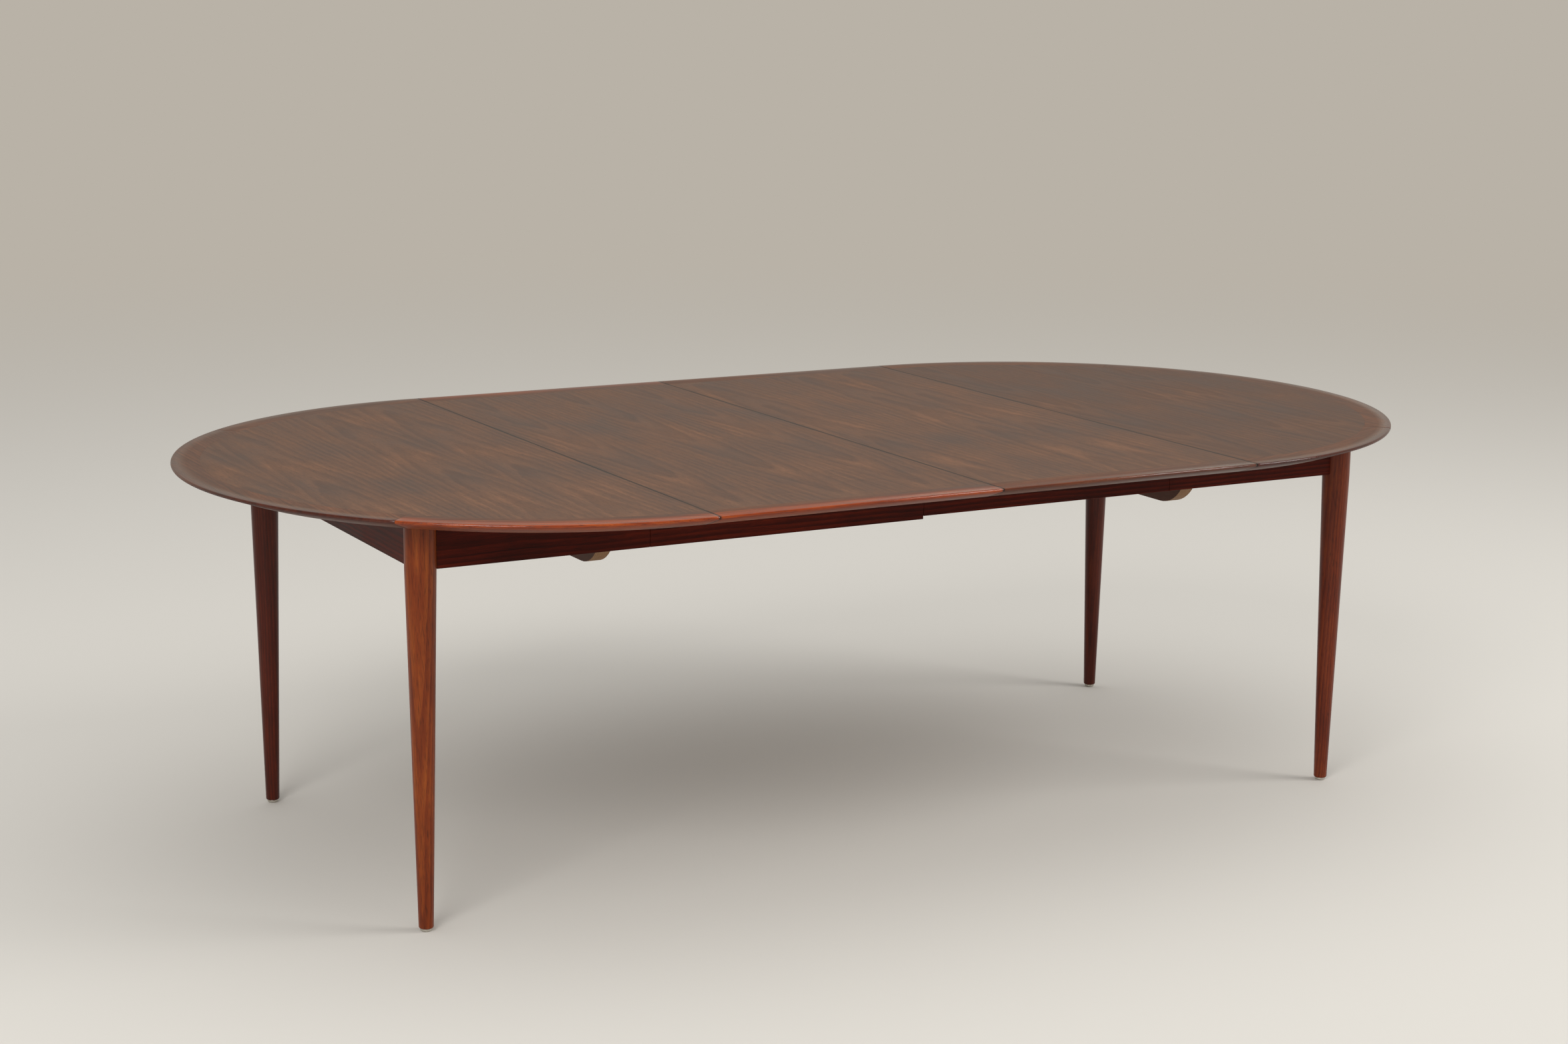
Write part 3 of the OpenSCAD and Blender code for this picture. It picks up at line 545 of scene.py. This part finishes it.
for side, y in (("near", -1), ("far", 1)):
    boards = wood(f"oiled solid teak, {side} aprons", SHADED_RAIL_TONES, (1, 0.01, 0.012),
                  (0, y * LEG_Y, RAIL_MIDDLE_Z), (0.02, 0.06, 0), **RAIL)
    for node in (f"left_apron_{side}", f"right_apron_{side}", f"leaf_1_skirt_{side}", f"leaf_2_skirt_{side}"):
        soften(node, ARRIS, boards)
for half, x in (("left", -1), ("right", 1)):
    board = wood(f"oiled solid teak, {half} end rail", SHADED_RAIL_TONES, (0.01, 1, 0.015),
                 (x * LEG_X, 0, RAIL_MIDDLE_Z), (0.05, 0.03, 0), **RAIL)
    soften(f"{half}_end_rail", ARRIS, board)

# Slides. Planed beech, never oiled, pale and dull, darkened a little by age: fixed runners under each half,
# middle runners between them with a tie, and a cross bar under each half. Grain runs along every piece.
SHORTEST = 3 * MM
BEECH = dict(tones=("#a37a4b", "#bd9464", "#d0ab7c"), middle=(0, 0, 0.65), heart=(0.05, 0.09, 0),
             pore="#8d6238", ring=4 * MM, waver=6 * MM, contrast=0.2, roughness=0.62, streak=5 * MM)


def ease(node, material, body):
    """Makes a drilled piece from its CAD node: its long outer edges are sanded, its holes stay sharp."""
    made = bmesh.new()
    made.from_mesh(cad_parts[node].data)
    made.transform(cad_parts[node].matrix_world)
    bmesh.ops.remove_doubles(made, verts=made.verts[:], dist=MM / 200)
    bmesh.ops.dissolve_limit(made, angle_limit=math.radians(0.2), verts=made.verts[:], edges=made.edges[:])
    outer = [e for e in made.edges if e.is_convex and e.calc_length() > SHORTEST
             and e.calc_face_angle(0) > math.radians(40)]
    round_edges(made, outer, ARRIS)
    piece(f"eased_{node}", made, material, body, node).data.shade_flat()


beech = wood("planed beech, grain along", grain=(1, 0.004, 0.01), **BEECH)
for half in ("left", "right"):
    for part in ("outer", "inner"):
        ease(f"{half}_{part}_runner", beech, f"{half}_half")
for part in ("near", "far"):
    ease(f"middle_runner_{part}", beech, "slide_carriage")
for node in ("left_edge_pins", "right_edge_pins", "leaf_1_pins"):
    soften(node, ARRIS, beech)
ACROSS = (0.004, 1, 0.012)
ease("middle_tie", wood("planed beech, grain across", grain=ACROSS, **BEECH), "slide_carriage")

# The flat sides of the cross bars are darkened to a red brown, partly a stain like the rails' and partly
# painted shade, as the bars lie in shadow under the top; their edges are darkened less, with painted shade
stained_shaded_beech = wood("planed beech, grain across, stain and painted shade", grain=ACROSS, **BEECH)
tree = stained_shaded_beech.node_tree
base = tree.nodes["Principled BSDF"].inputs["Base Color"]
facing = add(tree, "SeparateXYZ", {0: add(tree, "TexCoord").outputs["Normal"]}).outputs[0]
facing = add(tree, "Math", {0: facing}, operation="ABSOLUTE").outputs[0]
sides = add(tree, "MapRange", {0: facing, 1: 0.5, 2: 0.9, 3: 0.62, 4: 0.96}).outputs[0]
stain_and_shade = add(tree, "Mix", {0: sides, 6: base.links[0].from_socket, 7: linear("#5d2c15")}, data_type="RGBA",
            blend_type="MULTIPLY").outputs[2]
# The darker colour is partly stain and partly painted shade
tree.links.new(stain_and_shade, base)
for half in ("left", "right"):
    ease(f"{half}_cross_bar", stained_shaded_beech, f"{half}_half")

# Blocks. Offcuts of beech, sawn and left rough, then glued into the corners: a corner block at each leg, and
# small blocks along the rails.
blocks = wood("sawn beech blocks", ("#94703f", "#b08a57", "#c6a373"), (0.7, 0.7, 0.02), (0, 0, 0.67),
              (0.03, 0.04, 0), "#7d5a30", 4 * MM, waver=8 * MM, contrast=0.25, roughness=0.75, streak=4 * MM)
for half in ("left", "right"):
    ease(f"{half}_corner_blocks", blocks, f"{half}_half")
for node in ("left_glue_blocks", "right_glue_blocks", "leaf_1_glue_blocks", "leaf_2_glue_blocks"):
    soften(node, ARRIS, blocks)

# Bolts and pins. A zinc-plated bolt with washer and nut draws each corner block to its leg, and zinc-plated
# pins in the middle runners stop the slides.


def plated(name, tone, roughness):
    """Plated steel: a plain metal whose plating is a little cloudy."""
    material = bpy.data.materials.new(name)
    material.use_nodes = True
    tree = material.node_tree
    surface = tree.nodes["Principled BSDF"].inputs
    surface["Metallic"].default_value = 1
    place = add(tree, "TexCoord").outputs["Object"]
    # Cloudiness of the plating, about 5 mm across
    cloud = add(tree, "TexNoise", {"Vector": place, "Scale": 1 / (5 * MM), "Detail": 2.0}).outputs[0]
    uneven = add(tree, "MapRange", {0: cloud, 1: 0.3, 2: 0.7, 3: roughness - 0.06,
                                    4: roughness + 0.1}).outputs[0]
    tint = add(tree, "Mix", {0: cloud, 6: linear(tone[0]), 7: linear(tone[1])}, data_type="RGBA").outputs[2]
    tree.links.new(tint, surface["Base Color"])
    tree.links.new(uneven, surface["Roughness"])
    return material


# Zinc is a cloudy grey
zinc = plated("zinc-plated steel", ("#8f9294", "#b4b6b6"), 0.38)
# How far the corner block's face lies from the leg's axis, and how far the bolt reaches past it
CORNER_FACE, BOLT_END = 95 * MM * math.sqrt(0.5), 12 * MM
BOLT_START, BOLT_R, BOLT_Z, PITCH, BOLT_DEPTH = 13 * MM, 4 * MM, 665 * MM, 1.25 * MM, 0.6 * MM
WASHER_R, WASHER_T, WASHER_ARRIS = 10 * MM, 1.5 * MM, 0.3 * MM
NUT_R, NUT_H, NUT_ARRIS, PIN_ARRIS = 7.5 * MM, 6.5 * MM, 0.7 * MM, 0.4 * MM


def threaded(made, radius, low, high, depth):
    """Turns a rod from low to high, whose upper part has a thread, drawn as rings, and a tapered end."""
    z = low + 0.6 * (high - low)
    points = [(0, low), (radius, low), (radius, z)]
    while z + PITCH < high - PITCH:
        points += [(radius - depth, z + PITCH / 2), (radius, z + PITCH)]
        z += PITCH
    turn_profile(made, points + [(radius - depth, high), (0, high)], 24)


def disc(made, radius, low, high, segments):
    """Stands a short cylinder or prism on the Z axis, and returns its corners."""
    placed = Matrix.Translation((0, 0, (low + high) / 2))
    return bmesh.ops.create_cone(made, cap_ends=True, segments=segments, radius1=radius, radius2=radius,
                                 depth=high - low, matrix=placed)["verts"]


for half, x in (("left", -1), ("right", 1)):
    made = bmesh.new()
    for y in (-1, 1):
        one = bmesh.new()
        threaded(one, BOLT_R, BOLT_START, CORNER_FACE + BOLT_END, BOLT_DEPTH)
        washer_top = CORNER_FACE + WASHER_T
        for corners, width in ((disc(one, WASHER_R, CORNER_FACE, washer_top, 48), WASHER_ARRIS),
                               (disc(one, NUT_R, washer_top, washer_top + NUT_H, 6), NUT_ARRIS)):
            own = set(corners)
            rims = [e for e in one.edges if set(e.verts) <= own
                    and abs(e.verts[0].co.z - e.verts[1].co.z) < MM / 2]
            round_edges(one, rims, width)
        # A bolt lies level and points from its leg's axis to the middle of the corner block
        stand = (Matrix.Translation((x * LEG_X, y * LEG_Y, BOLT_Z))
                 @ Matrix.Rotation(math.atan2(-y, -x), 4, "Z") @ Matrix.Rotation(math.radians(90), 4, "Y"))
        bmesh.ops.transform(one, matrix=stand, verts=one.verts[:])
        join(made, one)
    piece(f"threaded_{half}_leg_bolts", made, zinc, f"{half}_half", f"{half}_leg_bolts")
soften("stop_pins", PIN_ARRIS, zinc)

# Screws. Round-headed steel screws, yellow-plated, so they look like dull brass. They hold the runners to the
# tops, the cross bars to the runners, and the tie to the middle runners.
yellow_zinc = plated("yellow zinc-plated steel", ("#9a8450", "#c4ab6c"), 0.36)
HEAD_R, HEAD_H, HEAD_ROUND = 4 * MM, 3 * MM, 1.2 * MM
SHANK_R, THREAD_DEPTH, SLOT_W = 2 * MM, 0.5 * MM, 1 * MM


def wood_screw(length):
    """Makes a round-headed wood screw that points up, its head's underside at the origin."""
    made = bmesh.new()
    disc(made, HEAD_R, -HEAD_H, 0, 48)
    rim = [e for e in made.edges if all(v.co.z < -HEAD_H / 2 for v in e.verts)]
    round_edges(made, rim, HEAD_ROUND, segments=4)
    # The slot is cut across the head's flat
    for way in (-1, 1):
        bmesh.ops.bisect_plane(made, geom=made.verts[:] + made.edges[:] + made.faces[:],
                               plane_co=(0, way * SLOT_W / 2, 0), plane_no=(0, 1, 0))
    flat = [f for f in made.faces if f.normal.z < -0.99 and abs(f.calc_center_median().y) < SLOT_W / 2]
    moved = bmesh.ops.extrude_face_region(made, geom=flat)["geom"]
    bmesh.ops.delete(made, geom=flat, context="FACES")
    bmesh.ops.translate(made, verts=[g for g in moved if isinstance(g, bmesh.types.BMVert)],
                        vec=(0, 0, 0.4 * HEAD_H))
    threaded(made, SHANK_R, 0, length, THREAD_DEPTH)
    return made


def screws(name, places, body, node):
    """Copies wood screws to their places, each given as a point and a length."""
    made = bmesh.new()
    for point, length in places:
        one = wood_screw(length)
        bmesh.ops.translate(one, verts=one.verts[:], vec=point)
        join(made, one)
    piece(name, made, yellow_zinc, body, node)


# Where the runners' outer ends and their middle lines lie, for the left half
RUNNER_X, OUTER_Y, INNER_Y = 927 * MM, 278.5 * MM, 221.5 * MM
RUNNER_SCREW_Z, RUNNER_SCREW = 666 * MM, 36 * MM
BAR_X, BAR_SCREWS_APART, BAR_SCREW_Z, BAR_SCREW = 605 * MM, 11.2 * MM, 579 * MM, 75 * MM
for half, turn in (("left", 1), ("right", -1)):
    places = []
    for y in (-OUTER_Y, INNER_Y):
        # Three screws hold each fixed runner to the top, and two hold the cross bar to it
        for share in (0.08, 0.42, 0.66):
            x = -RUNNER_X + share * (RUNNER_X - HALF_SEAM_X)
            places.append(((turn * x, turn * y, RUNNER_SCREW_Z), RUNNER_SCREW))
        for side in (-1, 1):
            x = -BAR_X + side * BAR_SCREWS_APART / 2
            places.append(((turn * x, turn * y, BAR_SCREW_Z), BAR_SCREW))
    screws(f"slotted_{half}_slide_screws", places, f"{half}_half", f"{half}_slide_screws")
TIE_SCREW_X, TIE_SCREW_Y, TIE_SCREW_Z, TIE_SCREW = 15 * MM, 250 * MM, 622 * MM, 32.4 * MM
places = [((x * TIE_SCREW_X, y * TIE_SCREW_Y, TIE_SCREW_Z), TIE_SCREW) for x in (-1, 1) for y in (-1, 1)]
screws("slotted_tie_screws", places, "slide_carriage", "tie_screws")
